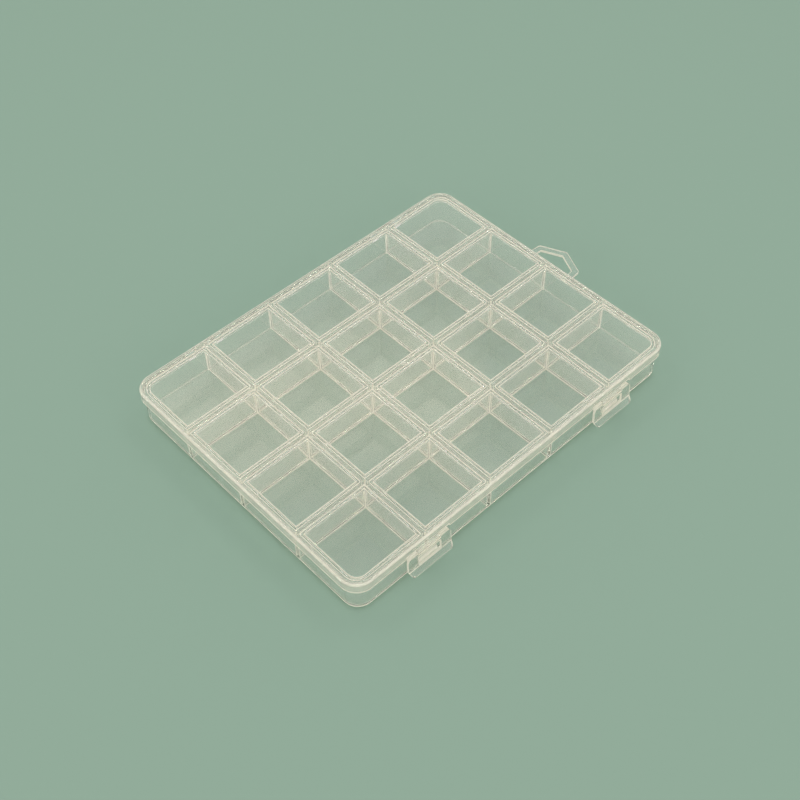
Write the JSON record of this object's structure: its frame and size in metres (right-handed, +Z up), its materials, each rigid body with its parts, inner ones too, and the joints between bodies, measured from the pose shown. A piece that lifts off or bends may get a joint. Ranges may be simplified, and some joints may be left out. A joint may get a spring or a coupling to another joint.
{
  "type": "compartment box",
  "caption": "Flat clear hinged box divided into square compartments for beads and small parts, with snap latches on the front and a hang loop on one end.",
  "frame": {"origin": "middle of the compartment grid, on the tray's underside, with the lid closed", "axes": "+X along the long side towards the hang loop, +Y towards the rear hinge, so the latches are on -Y, +Z up through the lid"},
  "size_m": [0.2188, 0.1634, 0.02],
  "materials": {
    "clear_plastic": "clear, faintly milky, glossy polypropylene"
  },
  "bodies": {
    "tray": {"tray_floor": "clear_plastic", "tray_wall": "clear_plastic", "latch_catches": "clear_plastic", "tray_hinge_ears": "clear_plastic", "row_divider_1": "clear_plastic", "row_divider_2": "clear_plastic", "row_divider_3": "clear_plastic", "column_divider_1": "clear_plastic", "column_divider_2": "clear_plastic", "column_divider_3": "clear_plastic", "column_divider_4": "clear_plastic"},
    "lid": {"lid_top": "clear_plastic", "lid_skirt": "clear_plastic", "lid_hinge_barrels": "clear_plastic", "lid_latch_barrels": "clear_plastic", "hang_tab": "clear_plastic", "plug_rings_row_1": "clear_plastic", "plug_rings_row_2": "clear_plastic", "plug_rings_row_3": "clear_plastic", "plug_rings_row_4": "clear_plastic"},
    "latch_left": {"latch_left": "clear_plastic"},
    "latch_right": {"latch_right": "clear_plastic"}
  },
  "joints": [
    {"name": "lid_hinge", "type": "hinge", "parent": "tray", "child": "lid", "pos_m": [0, 0.07955, 0.0162], "axis": [-1, 0, 0], "range_deg": [0, 180]},
    {"name": "latch_left_pivot", "type": "hinge", "parent": "lid", "child": "latch_left", "pos_m": [-0.06, -0.07873, 0.014], "axis": [-1, 0, 0], "range_deg": [0, 110]},
    {"name": "latch_right_pivot", "type": "hinge", "parent": "lid", "child": "latch_right", "pos_m": [0.06, -0.07873, 0.014], "axis": [-1, 0, 0], "range_deg": [0, 110]}
  ]
}
